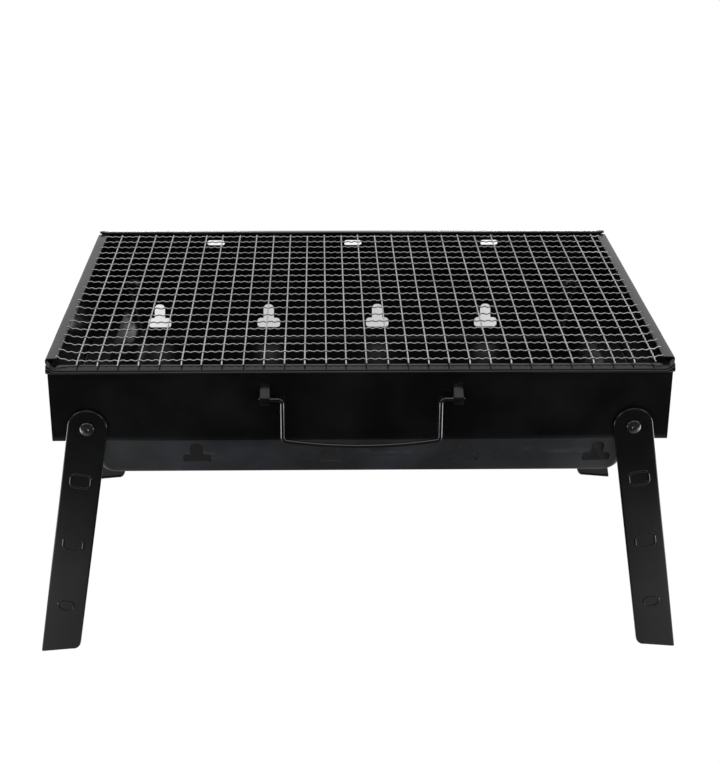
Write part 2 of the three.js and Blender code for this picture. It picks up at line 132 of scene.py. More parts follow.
# ---- Fire pan -----------------------------------------------------------------------------------
PAN_BOTTOM_HALF = (149 * MM, 105.7 * MM)
PAN_TOP_HALF = (158 * MM, 118.9 * MM)
PAN_EDGE_RADIUS = (6 * MM, 3 * MM)
PAN_CORNER = 5 * MM
PAN_LIP_CORNER = 4 * MM
PAN_HEIGHTS = (0, 0.2, 0.6, 1.2, 2, 3, 4.5, 6, 8, 11, 15, 20)    # of its rings above the bottom, in mm
VENT_PITCH = 76.7 * MM
VENT_FIRST_X = -94 * MM
VENT_COUNT = 4
VENT_BASE = (16 * MM, 8.6 * MM, 14.9 * MM)    # width, then lower and upper edge above the pan's bottom
VENT_BASE_RADIUS = 2.4 * MM
VENT_STEM = (7.3 * MM, 23.6 * MM)             # width, and top above the pan's bottom
VENT_STEM_RADIUS = 3 * MM
VENT_SPAN = (90 * MM, 130 * MM)               # a vent's cut runs from here to there

# ---- Legs ---------------------------------------------------------------------------------------
LEG_WIDTH = 22.5 * MM
LEG_SPLAY = math.radians(9.8)
LEG_TILT = math.radians(2.5)       # the feet stand in from the long walls
LEG_FACE = 1.2 * MM
LEG_ROLL = 1.1 * MM                # radius of the rolled edge
LEG_BACK = WALL_FACE + 0.9 * MM
LEG_FRONT = LEG_BACK + 2.2 * MM
LEG_PLANE = PIVOT.y
LEG_REACH = (PIVOT.z - (LEG_FRONT - LEG_PLANE) * math.sin(LEG_TILT)) / math.cos(LEG_TILT)
LEG_LENGTH = (LEG_REACH + LEG_WIDTH / 2 * math.sin(LEG_SPLAY)) / math.cos(LEG_SPLAY)
FOOT_CUT = math.tan(math.radians(15))
FOOT_RADIUS = 4 * MM
LEG_BEADS = (                      # distance below the pivot, width, height, corner radius
    (34 * MM, 11.5 * MM, 8.5 * MM, 2.8 * MM),
    (76 * MM, 11.5 * MM, 8.5 * MM, 2.8 * MM),
    (119 * MM, 9.0 * MM, 6.6 * MM, 3.2 * MM),
)
LEG_BEAD_RADIUS = 0.75 * MM
WASHER = 1.0 * MM
RIVET_RADIUS = 2.0 * MM
RIVET_MARK = ((1.5, 0.02), (1.15, 0.12), (0.8, 0.55), (0.0, 0.65))  # (radius, depth in the head), mm

# ---- Handle and net -----------------------------------------------------------------------------
BAIL_WIRE = 1.2 * MM
BAIL_SIDE = 44.4 * MM
BAIL_CORNER = 2.4 * MM
BAIL_BOW = 3.2 * MM
NET_WIRE = 0.43 * MM               # wire radius
NET_CRIMP = 0.3 * MM               # half the height of a crimp
CRIMPS_PER_CELL = 2.5
NET_END_BEND = 0.15                # slope of the free wire ends at the front
NET_FIRST_X = -158.4 * MM
NET_CROSS_PITCH = 11.53 * MM       # between the wires that run front to back
NET_CROSS = 29
NET_REAR_ROW = net_high.y - 3.8 * MM
NET_LONG_PITCH = 11.58 * MM        # between the wires that run along the length
NET_LONG = 20
NET_WAVE = 0.3 * MM                # height of the slow wave in the net
NET_DIP = 2.3 * MM                 # how far the net hangs at the front
NET_DIP_LEFT = 0.9 * MM            # and how much more at its left end
NET_DIP_END = 3.6                  # ends the dip just before the end flanges

# ---- Materials' colours -------------------------------------------------------------------------
DUST = (0.16, 0.16, 0.155)
THIN_PAINT = (0.10, 0.10, 0.105)
# Painted shade: the pan's inner faces get this darker colour and lower specular level.
INSIDE_SHADE = (0.0016, 0.0016, 0.0016)
INSIDE_SHADE_GLOSS = 0.14

# ---- Camera and light ---------------------------------------------------------------------------
LENS = 73.46                       # mm
SENSOR = 36                        # mm wide
CAMERA_PLACE = (-0.0230, -0.9219, 0.5136)
CAMERA_TURN = (1.576, 22.786, 0.383)  # degrees: to the right, down and over
FLOOR_HALF = 8.0
SOFTBOX_PLACE = (1.3, -0.35, 1.1)
SOFTBOX_TARGET = (0, 0, 0.1)
SOFTBOX_SIZE = (0.5, 0.9)
SOFTBOX_POWER = 4


# ---- Mesh tools ---------------------------------------------------------------------------------
def mesh_object(name, verts, faces):
    mesh = bpy.data.meshes.new(name)
    mesh.from_pydata([tuple(v) for v in verts], [], faces)
    mesh.update()
    piece = bpy.data.objects.new(name, mesh)
    bpy.context.scene.collection.objects.link(piece)
    return piece


def fix_normals(piece):
    bm = bmesh.new()
    bm.from_mesh(piece.data)
    bmesh.ops.recalc_face_normals(bm, faces=bm.faces)
    bm.to_mesh(piece.data)
    bm.free()


def ring_faces(rings, around, closed):
    """Quads between rings of vertices numbered ring after ring."""
    faces = []
    pairs = range(rings if closed else rings - 1)
    for ring in pairs:
        following = (ring + 1) % rings
        for i in range(around):
            j = (i + 1) % around
            here, there = ring * around, following * around
            faces.append((here + i, here + j, there + j, there + i))
    return faces


def lofted(name, rings, closed=False):
    """Rings of equal length joined into one skin, with flat ends unless it closes on itself."""
    around = len(rings[0])
    faces = ring_faces(len(rings), around, closed)
    if not closed:
        faces.append(tuple(range(around)))
        last = (len(rings) - 1) * around
        faces.append(tuple(range(last, last + around)))
    piece = mesh_object(name, [point for ring in rings for point in ring], faces)
    fix_normals(piece)
    return piece


def baked(piece):
    """The piece with its modifiers applied."""
    depsgraph = bpy.context.evaluated_depsgraph_get()
    mesh = bpy.data.meshes.new_from_object(piece.evaluated_get(depsgraph))
    piece.modifiers.clear()
    piece.data = mesh
    return piece


def combine(piece, others, operation):
    """The piece joined with or cut by the others, which are used up."""
    for other in others:
        modifier = piece.modifiers.new("combine", "BOOLEAN")
        modifier.solver = "EXACT"
        modifier.operation = operation
        modifier.object = other
        baked(piece)
        bpy.data.objects.remove(other)
    return piece


def rounded_edges(piece, width):
    modifier = piece.modifiers.new("bevel", "BEVEL")
    modifier.width = width
    modifier.segments = 2
    modifier.limit_method = "ANGLE"
    modifier.angle_limit = math.radians(40)
    modifier.use_clamp_overlap = True
    return baked(piece)


def smooth(piece, angle=35):
    piece.data.shade_smooth()
    piece.data.set_sharp_from_angle(angle=math.radians(angle))
    return piece


def mirrored(piece, axis):
    """The piece turned into its own mirror image across the plane where that coordinate is 0."""
    scale = [1, 1, 1]
    scale[axis] = -1
    piece.data.transform(Matrix.Diagonal((*scale, 1)))
    piece.data.flip_normals()
    return piece


def arc(cx, cy, radius, start, end, steps):
    """Points on an arc between two angles in degrees."""
    angles = [math.radians(start + (end - start) * i / steps) for i in range(steps + 1)]
    return [(cx + radius * math.cos(a), cy + radius * math.sin(a)) for a in angles]


def rounded_rect(cx, cy, width, height, radius, steps=6):
    x, y = width / 2 - radius, height / 2 - radius
    corners = ((x, y, 0), (-x, y, 90), (-x, -y, 180), (x, -y, 270))
    return [p for dx, dy, a in corners for p in arc(cx + dx, cy + dy, radius, a, a + 90, steps)]


def sheet_outline(path, thickness):
    """Both sides of a folded sheet whose middle follows the path."""
    points = [Vector(p) for p in path]
    ways = [(b - a).normalized() for a, b in zip(points, points[1:])]
    sides = []
    for side in (0.5, -0.5):
        row = []
        for i, point in enumerate(points):
            before, after = ways[max(i - 1, 0)], ways[min(i, len(ways) - 1)]
            mitre = (before + after).normalized()
            reach = side * thickness / mitre.dot(after)
            row.append((point.x - mitre.y * reach, point.y + mitre.x * reach))
        sides.append(row)
    return sides[0] + sides[1][::-1]


def subdivided(start, end, steps):
    return [tuple(Vector(start).lerp(Vector(end), i / steps)) for i in range(steps + 1)]


def prism_along_y(name, outline, y0, y1):
    return lofted(name, [[(x, y, z) for x, z in outline] for y in (y0, y1)])


def cutter(name, outline, side, span=CUT_SPAN):
    """A prism through the long side of the grill on that side: 1 is the rear, -1 the front."""
    return prism_along_y(name, outline, side * span[0], side * span[1])


def tube_rings(points, radius, sides):
    """Rings of vertices round a smooth path, without twist."""
    count = len(points)
    ways = []
    for i in range(count):
        ways.append((points[min(i + 1, count - 1)] - points[max(i - 1, 0)]).normalized())
    up = Vector((0, 0, 1)) if abs(ways[0].z) < 0.9 else Vector((0, 1, 0))
    normal = (up - ways[0] * up.dot(ways[0])).normalized()
    rings = []
    for point, way in zip(points, ways):
        normal = (normal - way * normal.dot(way)).normalized()
        across = way.cross(normal)
        rings.append([
            point + radius * (math.cos(a) * normal + math.sin(a) * across)
            for a in (2 * math.pi * k / sides for k in range(sides))])
    return rings


def turned_on_y(name, profile, x, z):
    """A round piece on a Y axis: profile points are (radius, y), and the ends may lie on the axis."""
    segments = 40
    rings = []
    for k in range(segments):
        a = 2 * math.pi * k / segments
        rings.append([(x + r * math.cos(a), y, z + r * math.sin(a)) for r, y in profile])
    piece = lofted(name, rings, closed=True)
    bm = bmesh.new()
    bm.from_mesh(piece.data)
    bmesh.ops.remove_doubles(bm, verts=bm.verts, dist=1e-7)
    bmesh.ops.recalc_face_normals(bm, faces=bm.faces)
    bm.to_mesh(piece.data)
    bm.free()
    return piece


def paint(piece, material):
    piece.data.materials.clear()
    piece.data.materials.append(material)


def finish_piece(piece, body, slot, material, *nodes):
    paint(piece, material)
    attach(piece, body)
    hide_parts(*nodes)


# ---- Materials ----------------------------------------------------------------------------------
class Shader:
    """Short names for building a node material."""

    def __init__(self, owner):
        """The owner is a world, or the name of a new material."""
        if isinstance(owner, str):
            owner = bpy.data.materials.new(owner)
            owner.use_nodes = True
        self.material = owner
        self.nodes = owner.node_tree.nodes
        self.links = owner.node_tree.links
        self.surface = self.nodes.get("Principled BSDF")
        coordinates = self.nodes.new("ShaderNodeTexCoord")
        self.where = coordinates.outputs["Object"]
        self.generated = coordinates.outputs["Generated"]
        self.normal = coordinates.outputs["Normal"]

    def link(self, source, target):
        self.links.new(source, target)

    def feed(self, value, socket):
        """The value is another socket, a number or a colour."""
        if isinstance(value, bpy.types.NodeSocket):
            self.link(value, socket)
        elif isinstance(value, tuple):
            socket.default_value = (*value, 1)
        else:
            socket.default_value = value

    def noise(self, scale, detail, roughness=0.55, stretch=None):
        node = self.nodes.new("ShaderNodeTexNoise")
        node.inputs["Scale"].default_value = scale
        node.inputs["Detail"].default_value = detail
        node.inputs["Roughness"].default_value = roughness
        self.link(self.stretched(stretch) if stretch else self.where, node.inputs["Vector"])
        return node.outputs["Fac"]

    def stretched(self, scale):
        node = self.nodes.new("ShaderNodeMapping")
        node.inputs["Scale"].default_value = scale
        self.link(self.where, node.inputs["Vector"])
        return node.outputs["Vector"]

    def specks(self, scale, size):
        """1 in small scattered spots, 0 elsewhere."""
        node = self.nodes.new("ShaderNodeTexVoronoi")
        node.inputs["Scale"].default_value = scale
        self.link(self.where, node.inputs["Vector"])
        return self.ramp(node.outputs["Distance"], size * 0.6, size, 1.0, 0.0)

    def ramp(self, source, low, high, at_low, at_high):
        node = self.nodes.new("ShaderNodeMapRange")
        node.inputs["From Min"].default_value = low
        node.inputs["From Max"].default_value = high
        node.inputs["To Min"].default_value = at_low
        node.inputs["To Max"].default_value = at_high
        self.link(source, node.inputs["Value"])
        return node.outputs["Result"]

    def maths(self, operation, *values):
        node = self.nodes.new("ShaderNodeMath")
        node.operation = operation
        for value, socket in zip(values, node.inputs):
            self.feed(value, socket)
        return node.outputs["Value"]

    def times(self, a, b):
        return self.maths("MULTIPLY", a, b)

    def plus(self, a, b):
        return self.maths("ADD", a, b)

    def larger(self, a, b):
        return self.maths("MAXIMUM", a, b)

    def size_of(self, a):
        return self.maths("ABSOLUTE", a)

    def ray(self, kind):
        """1 for light paths of that kind, 0 for the rest."""
        return self.nodes.new("ShaderNodeLightPath").outputs[f"Is {kind} Ray"]

    def facing_away(self, centre):
        """1 on faces that look away from the centre, 0 on those that look at it."""
        offset = self.nodes.new("ShaderNodeVectorMath")
        offset.operation = "SUBTRACT"
        self.link(self.where, offset.inputs[0])
        offset.inputs[1].default_value = centre
        facing = self.nodes.new("ShaderNodeVectorMath")
        facing.operation = "DOT_PRODUCT"
        self.link(offset.outputs["Vector"], facing.inputs[0])
        self.link(self.normal, facing.inputs[1])
        blend = 0.004
        return self.ramp(facing.outputs["Value"], -blend, blend, 0.0, 1.0)

    def mix(self, factor, first, second):
        """A colour between two."""
        node = self.nodes.new("ShaderNodeMix")
        node.data_type = "RGBA"
        self.link(factor, node.inputs["Factor"])
        self.feed(first, node.inputs["A"])
        self.feed(second, node.inputs["B"])
        return node.outputs["Result"]

    def bump(self, height, distance, strength, below=None):
        node = self.nodes.new("ShaderNodeBump")
        node.inputs["Distance"].default_value = distance
        node.inputs["Strength"].default_value = strength
        self.link(height, node.inputs["Height"])
        if below is not None:
            self.link(below, node.inputs["Normal"])
        return node.outputs["Normal"]

    def worn_edges(self):
        """1 on the sharp convex edges of the piece."""
        node = self.nodes.new("ShaderNodeNewGeometry")
        return self.ramp(node.outputs["Pointiness"], 0.56, 0.66, 0.0, 1.0)


def enamel(name, colour, roughness, waviness, gloss, inside=None):
    """Sprayed black enamel: a fine orange peel, faint smears, a little dust, thin paint on the edges.

    Faces that look at the point "inside" are duller and darker: painted shade on the inner side of the
    pan.
    """
    s = Shader(name)
    patches = s.noise(26, 3)
    dust = s.times(s.specks(900, 0.13), s.ramp(s.noise(60, 2), 0.58, 0.72, 0.0, 0.35))
    lighter = tuple(c * 1.9 + 0.002 for c in colour)
    grime = s.mix(s.ramp(patches, 0.4, 0.75, 0.0, 1.0), colour, lighter)
    dusty = s.mix(dust, grime, DUST)
    thin_paint = s.times(s.worn_edges(), s.ramp(s.noise(90, 3), 0.5, 0.7, 0.0, 0.5))
    edged = s.mix(thin_paint, dusty, THIN_PAINT)
    if inside is None:
        s.link(edged, s.surface.inputs["Base Color"])
        s.surface.inputs["Specular IOR Level"].default_value = gloss
    else:
        # Painted shade: faces that look at the inside point are darker and duller.
        outer = s.facing_away(inside)
        s.link(s.mix(outer, INSIDE_SHADE, edged), s.surface.inputs["Base Color"])
        s.link(s.ramp(outer, 0.0, 1.0, INSIDE_SHADE_GLOSS, gloss), s.surface.inputs["Specular IOR Level"])
    smears = s.ramp(s.noise(34, 6, 0.65, (1, 1, 2.4)), 0.3, 0.75, roughness * 0.8, roughness * 1.35)
    s.link(smears, s.surface.inputs["Roughness"])
    s.surface.inputs["IOR"].default_value = 1.5
    waves = s.bump(s.noise(16, 1), 0.0006, waviness)
    peel = s.bump(s.noise(780, 2), 0.00006, 0.35, waves)
    s.link(peel, s.surface.inputs["Normal"])
    return s.material


def zinc(name, colour, roughness):
    """Bright zinc-plated drawn wire: streaks along it, a few duller patches."""
    s = Shader(name)
    s.surface.inputs["Metallic"].default_value = 1.0
    dull = s.ramp(s.noise(45, 5), 0.42, 0.72, 0.0, 0.75)
    duller = tuple(c * 0.62 for c in colour)
    s.link(s.mix(dull, colour, duller), s.surface.inputs["Base Color"])
    drawn = s.ramp(s.noise(300, 4), 0.3, 0.7, roughness * 0.75, roughness * 1.4)
    s.link(drawn, s.surface.inputs["Roughness"])
    s.link(s.bump(s.noise(1500, 3), 0.00004, 0.3), s.surface.inputs["Normal"])
    return s.material


BOX_ENAMEL = enamel("box_enamel", (0.0024, 0.0025, 0.0025), 0.15, 0.35, 0.45)
# The pan's black is lighter and less glossy than the box's: a painted reflection of the floor in its
# colour. Faces that look at (0, 0, 0.25) get painted shade.
PAN_PAINTED_LIGHT_ENAMEL = enamel("pan_enamel", (0.0125, 0.0135, 0.016), 0.34, 0.25, 0.25, (0, 0, 0.25))
LEG_ENAMEL = enamel("leg_enamel", (0.0016, 0.0017, 0.0019), 0.18, 0.2, 0.5)
RIVET_BLACK = enamel("rivet_black", (0.006, 0.006, 0.0065), 0.16, 0.0, 0.8)
HANDLE_WIRE = enamel("handle_wire", (0.003, 0.003, 0.0032), 0.1, 0.0, 1.0)
NET_ZINC = zinc("net_zinc", (0.62, 0.62, 0.64), 0.26)
WASHER_ZINC = zinc("washer_zinc", (0.60, 0.61, 0.62), 0.3)


# ---- Long walls ---------------------------------------------------------------------------------
def ripple(x, y, z):
    """How far thin sheet stands off its true plane at a point, to each side."""
    return WALL_RIPPLE * noise.noise(Vector((x * 13, y * 40, z * 24)))


def wall_section(face, rim_foot):
    """One face of a long wall's sheet below the rim: points (y, z, share of the rim's lift)."""
    heights = subdivided((0, WALL_BOTTOM + 1 * MM), (0, rim_foot - 1 * MM), 13)
    return [(face - HEM, WALL_BOTTOM, 0.0), *((face, z, 0.0) for _, z in heights)]


def rim_section(points):
    """One face of the rim's sheet: points (y, z, share of the rim's lift)."""
    foot = points[0][1]
    top = min(down for _, down in points)
    section = []
    for out, down in points:
        share = RIM_LIFT_GAIN * max(foot - down, 0) / (foot - top)
        section.append((WALL_FACE + out * MM, RIM_TOP - down * MM, min(share, 1)))
    return section


def long_wall(name, lift, end_rise):
    """A wall at the rear, its rim raised by the lift, and at the ends by a little more.

    The front wall is the mirror image of one.
    """
    rim_foot = RIM_TOP - RIM_OUTSIDE[0][1] * MM
    outside = wall_section(WALL_FACE, rim_foot) + rim_section(RIM_OUTSIDE)
    inside = wall_section(WALL_FACE - SHEET, rim_foot) + rim_section(RIM_INSIDE)
    outline = outside + inside[::-1]
    shares = [2 * i / WALL_STEPS - 1 for i in range(WALL_STEPS + 1)]
    ends = [1 - RIM_END_TURN / RAIL_HALF * k / RIM_END_STEPS for k in range(1, RIM_END_STEPS)]
    shares = sorted({*shares, *ends, *(-share for share in ends)})
    rings = []
    for share in shares:
        fade = 1 - share ** RIPPLE_FADE
        turn = max((abs(share) - 1) * RAIL_HALF / RIM_END_TURN + 1, 0)
        rise = lift + end_rise * turn * turn * (3 - 2 * turn)
        ring = []
        for y, z, height in outline:
            half = RAIL_HALF if z > rim_foot + 0.2 * MM else WALL_HALF
            ring.append((share * half, y + ripple(share * half, 0, z) * fade, z + rise * height))
        rings.append(ring)
    return lofted(name, rings)


def shallow_box(name, low, high):
    outline = [(low[0], low[2]), (high[0], low[2]), (high[0], high[2]), (low[0], high[2])]
    return prism_along_y(name, outline, low[1], high[1])


def pivot_hole(x, z, side):
    """A cutter for the hole round a rivet's shank."""
    return cutter("hole", arc(x, z, RIVET_RADIUS + GAP, 0, 360, 24)[:-1], side)


def rear_wall():
    piece = long_wall("rear_wall_panel", REAR_RIM_LIFT, RIM_END_RISE[1])
    holes = [pivot_hole(x, PIVOT.z, 1) for x in (-PIVOT.x, PIVOT.x)]
    slots = [cutter("slot", rounded_rect(x, SLOT_Z, *SLOT, SLOT[1] * 0.48), 1) for x in SLOT_X]
    combine(piece, [*holes, *slots], "DIFFERENCE")
    return smooth(piece)


def tongue(x):
    """A tongue cut from the wall, bent out and down, and curled under the handle's wire."""
    middle = -WALL_FACE + SHEET / 2
    curl = arc(BAIL_AXIS.y, BAIL_AXIS.z, TONGUE_INNER + SHEET / 2, 120, 320, 28)
    root = [(middle, TONGUE_ROOT + SHEET), (middle, TONGUE_ROOT)]
    outline = sheet_outline(root + curl, SHEET)
    half = TONGUE_WIDTH / 2
    piece = lofted("tongue", [[(x + s * half, y, z) for y, z in outline] for s in (-1, 1)])
    return rounded_edges(piece, 0.2 * MM)


def front_wall():
    piece = mirrored(long_wall("front_wall_panel", 0.0, RIM_END_RISE[0]), 1)
    holes = [pivot_hole(x, PIVOT.z, -1) for x in (-PIVOT.x, PIVOT.x)]
    middle = (WINDOW_BOTTOM + TONGUE_ROOT) / 2
    height = TONGUE_ROOT - WINDOW_BOTTOM
    windows = []
    for x in (-TONGUE_X, TONGUE_X):
        outline = rounded_rect(x, middle, TONGUE_WIDTH, height, WINDOW_RADIUS)
        windows.append(prism_along_y("window", outline, -WALL_FACE - 2 * SHEET, -WALL_FACE + 2 * SHEET))
    combine(piece, [*holes, *windows], "DIFFERENCE")
    combine(piece, [tongue(-TONGUE_X), tongue(TONGUE_X)], "UNION")
    return smooth(piece)


# ---- End walls ----------------------------------------------------------------------------------
def end_wall_outline():
    """The folded sheet of the right end wall in (x, z)."""
    middle = END_WALL_X - SHEET / 2
    bead = END_RIM_X - SHEET / 2
    bottom = WALL_BOTTOM + SHEET / 2
    top = RIM_TOP - SHEET / 2
    fold = [(middle - 1.2 * MM, bottom), (middle - 0.4 * MM, bottom + 0.3 * MM)]
    wall = subdivided((middle, WALL_BOTTOM + 1.6 * MM), (middle, RIM_TOP - 4 * MM), 10)
    rim = [(bead, RIM_TOP - 2.8 * MM), (bead, top - 0.8 * MM), (bead - 0.25 * MM, top - 0.25 * MM)]
    flange = [(bead - 0.8 * MM, top), (END_FLANGE_INNER, top)]
    return sheet_outline([(END_SHELF_INNER, bottom), *fold, *wall, *rim, *flange], SHEET)


def end_wall_notches():
    """Cutters that shorten the flange and the shelf, so that they fit between the long walls."""
    far = CUT_SPAN[1]
    cutters = []
    for end in (-1, 1):
        near, beyond = sorted((end * END_FLANGE_HALF, end * far))
        low = (END_FLANGE_INNER - MM, near, RIM_TOP - 4.2 * MM)
        cutters.append(shallow_box("notch", low, (far * 2, beyond, RIM_TOP + MM)))
        near, beyond = sorted((end * (TAB_FACE - SHEET - GAP), end * far))
        low = (END_SHELF_INNER - MM, near, WALL_BOTTOM - MM)
        cutters.append(shallow_box("shelf_end", low, (END_WALL_X - SHEET, beyond, WALL_BOTTOM + 2 * MM)))
    return cutters


def end_wall_tabs():
    inner, outer = END_WALL_X - TAB_WIDTH, END_WALL_X - SHEET / 2
    outline = [
        (inner, TAB_BOTTOM + 4 * MM), (inner + 4 * MM, TAB_BOTTOM), (outer, TAB_BOTTOM),
        (outer, TAB_TOP), (inner + 8 * MM, TAB_TOP), (inner, TAB_TOP - 8 * MM)]
    return [prism_along_y("tab", outline, end * (TAB_FACE - SHEET), end * TAB_FACE) for end in (-1, 1)]


def end_wall(name, side):
    outline = end_wall_outline()
    rings = []
    for i in range(END_WALL_STEPS + 1):
        share = 2 * i / END_WALL_STEPS - 1
        y = TAB_FACE * share
        fade = 1 - share ** RIPPLE_FADE
        rings.append([(x + ripple(0, y, z) * fade, y, z) for x, z in outline])
    piece = lofted(name, rings)
    combine(piece, end_wall_notches(), "DIFFERENCE")
    combine(piece, end_wall_tabs(), "UNION")
    combine(piece, [pivot_hole(PIVOT.x, PIVOT.z, end) for end in (1, -1)], "DIFFERENCE")
    if side < 0:
        mirrored(piece, 0)
    return smooth(piece)


# ---- Fire pan -----------------------------------------------------------------------------------
def pan_half(axis, height, depth):
    """Half the pan's length (axis 0) or width (axis 1) at a height above its bottom."""
    slope = (PAN_TOP_HALF[axis] - PAN_BOTTOM_HALF[axis]) / depth
    radius = PAN_EDGE_RADIUS[axis]
    rise = max(radius - height, 0)
    return PAN_BOTTOM_HALF[axis] + slope * height - (radius - math.sqrt(radius ** 2 - rise ** 2))


def pan_ring(a, b, radius, z):
    return [(x, y, z) for x, y in rounded_rect(0, 0, 2 * a, 2 * b, radius, 9)]


def vent(x, side):
    """A cutter for one vent: a wide base with a rounded stem on it."""
    bottom = pan_low.z
    width, low, high = VENT_BASE
    base = rounded_rect(x, bottom + (low + high) / 2, width, high - low, VENT_BASE_RADIUS)
    low += MM                      # the stem starts inside the base
    width, high = VENT_STEM
    stem = rounded_rect(x, bottom + (low + high) / 2, width, high - low, VENT_STEM_RADIUS)
    return combine(cutter("vent", base, side, VENT_SPAN), [cutter("stem", stem, side, VENT_SPAN)], "UNION")


def fire_pan():
    lip_z = WALL_BOTTOM + SHEET + GAP
    depth = lip_z - pan_low.z
    outer, inner = [], []
    for h in (*(height * MM for height in PAN_HEIGHTS), depth):
        a, b = pan_half(0, h, depth), pan_half(1, h, depth)
        outer.append(pan_ring(a, b, PAN_CORNER, pan_low.z + h))
        inner.append(pan_ring(a - SHEET, b - SHEET, PAN_CORNER - SHEET, pan_low.z + h + SHEET))
    lip = [pan_ring(pan_high.x, pan_high.y, PAN_LIP_CORNER, z) for z in (lip_z, lip_z + SHEET)]
    piece = lofted("fire_pan_trough", outer + lip + inner[::-1])
    vents = []
    for i in range(VENT_COUNT):
        x = VENT_FIRST_X + i * VENT_PITCH
        vents += [vent(x, -1), vent(-x, 1)]
    combine(piece, vents, "DIFFERENCE")
    return smooth(piece, 30)


# ---- Legs ---------------------------------------------------------------------------------------
def leg_outline(inset):
    """The leg upright, pivot at the origin, its outermost side at +X, drawn in (x, z)."""
    w = LEG_WIDTH / 2 - inset
    outer = -LEG_LENGTH + inset
    inner = outer + 2 * w * FOOT_CUT
    r = FOOT_RADIUS
    foot = [(-w, inner + r)]
    foot += [
        (-w + r * (1 - math.cos(a)), inner + r - (r + r * FOOT_CUT) * math.sin(a))
        for a in (math.radians(90 * k / 8) for k in range(1, 9))]
    toe = 0.6 * MM
    return arc(0, 0, w, 0, 180, 40) + foot + [(w - toe, outer + toe * FOOT_CUT), (w, outer + toe)]


def leg(name, side_x, side_y):
    """A pressed strip with a rolled edge, a shallow pocket at its back and raised rings on its front."""
    def at(inset, y):
        return [(x, y, z) for x, z in leg_outline(inset)]

    roll = LEG_ROLL
    rim = [
        at(roll * (1 - math.cos(a)), LEG_FRONT - roll + roll * math.sin(a))
        for a in (math.radians(90 * k / 6) for k in range(7))]
    pocket = LEG_BACK + 1.0 * MM
    rings = [at(LEG_FACE, pocket), at(LEG_FACE, LEG_BACK), at(0.0, LEG_BACK), *rim]
    piece = lofted(name, rings)
    beads = []
    for below, width, height, radius in LEG_BEADS:
        loop = rounded_rect(0, -below, width, height, radius, 8)
        beads.append(bead_ring([Vector((x, LEG_FRONT - 0.15 * MM, z)) for x, z in loop]))
    combine(piece, beads, "UNION")
    combine(piece, [pivot_hole(0, 0, 1)], "DIFFERENCE")
    piece.data.transform(Matrix.Rotation(-LEG_SPLAY, 4, "Y"))
    piece.data.transform(Matrix.Translation((0, -LEG_PLANE, 0)))
    piece.data.transform(Matrix.Rotation(-LEG_TILT, 4, "X"))
    piece.data.transform(Matrix.Translation((PIVOT.x, LEG_PLANE, PIVOT.z)))
    if side_x < 0:
        mirrored(piece, 0)
    if side_y < 0:
        mirrored(piece, 1)
    return smooth(piece, 40)


def bead_ring(middle):
    """A closed pressed bead round a loop of points that lies in one plane across Y."""
    count = len(middle)
    sides = 12
    rings = []
    for i, point in enumerate(middle):
        way = (middle[(i + 1) % count] - middle[i - 1]).normalized()
        outward = way.cross(Vector((0, 1, 0)))
        rings.append([
            point + LEG_BEAD_RADIUS * (math.cos(a) * outward + math.sin(a) * Vector((0, 1, 0)))
            for a in (2 * math.pi * k / sides for k in range(sides))])
    return lofted("bead", rings, closed=True)


def rivet(name, side_x, side_y):
    """A domed head with a small set mark in its middle, a shank, and a peened tail inside."""
    under = LEG_FRONT + GAP
    head_radius = (rivet_high.x - rivet_low.x) / 2
    head = rivet_high.y - under
    tail = TAB_FACE - SHEET - WASHER - 2 * GAP
    dome = [(head_radius * math.cos(a), under + 0.25 * MM + (head - 0.25 * MM) * math.sin(a))
            for a in (math.radians(64 * k / 12) for k in range(13))]
    mark = [(radius * MM, under + head - depth * MM) for radius, depth in RIVET_MARK]
    tail_end = [(0.0, rivet_low.y), (2.4 * MM, rivet_low.y), (3.3 * MM, rivet_low.y + 0.5 * MM)]
    shank = [(3.6 * MM, tail), (RIVET_RADIUS, tail), (RIVET_RADIUS, under)]
    profile = [*tail_end, *shank, (head_radius - 0.1 * MM, under), *dome, *mark]
    piece = turned_on_y(name, profile, PIVOT.x, PIVOT.z)
    if side_x < 0:
        mirrored(piece, 0)
    if side_y < 0:
        mirrored(piece, 1)
    return smooth(piece, 50)


# ---- Handle -------------------------------------------------------------------------------------
def handle():
    """One wire: two ends in the tongues, two sides, and a grip that bows down in the middle."""
    y, top = BAIL_AXIS.y, BAIL_AXIS.z
    grip_middle = bail_low.z + BAIL_WIRE
    corner_z = grip_middle + BAIL_BOW + BAIL_CORNER
    end = bail_high.x
    half = [(x, top) for x, _ in subdivided((end, 0), (BAIL_SIDE + BAIL_CORNER, 0), 6)]
    half += arc(BAIL_SIDE + BAIL_CORNER, top - BAIL_CORNER, BAIL_CORNER, 90, 180, 8)[1:]
    half += subdivided((BAIL_SIDE, top - BAIL_CORNER), (BAIL_SIDE, corner_z), 6)[1:]
    turn = arc(BAIL_SIDE - BAIL_CORNER, corner_z, BAIL_CORNER, 0, -84, 8)[1:]
    half += turn
    start_x, start_z = turn[-1]
    steps = 24
    for k in range(1, steps + 1):
        share = k / steps
        x = start_x * (1 - share)
        half.append((x, grip_middle + (start_z - grip_middle) * (x / start_x) ** 2))
    other = [(-x, z) for x, z in half[-2::-1]]
    points = [Vector((x, y, z)) for x, z in half + other]
    return smooth(lofted("handle_wire", tube_rings(points, BAIL_WIRE, 16)), 60)


# ---- Cooking net --------------------------------------------------------------------------------
def net_sag(x, y):
    """The light net isn't quite flat: between the end flanges it dips to the front, most at the left."""
    u, v = x / RAIL_HALF, y / RIM_OUT
    front = (0.5 - v / 2) ** 2 * max(1 - NET_DIP_END * u ** 40, 0)
    wave = NET_WAVE * (1 - u * u) * (1 - v * v) * math.sin(2.2 * u + 0.6)
    return wave - front * (NET_DIP + NET_DIP_LEFT * max(-u, 0) ** 2)


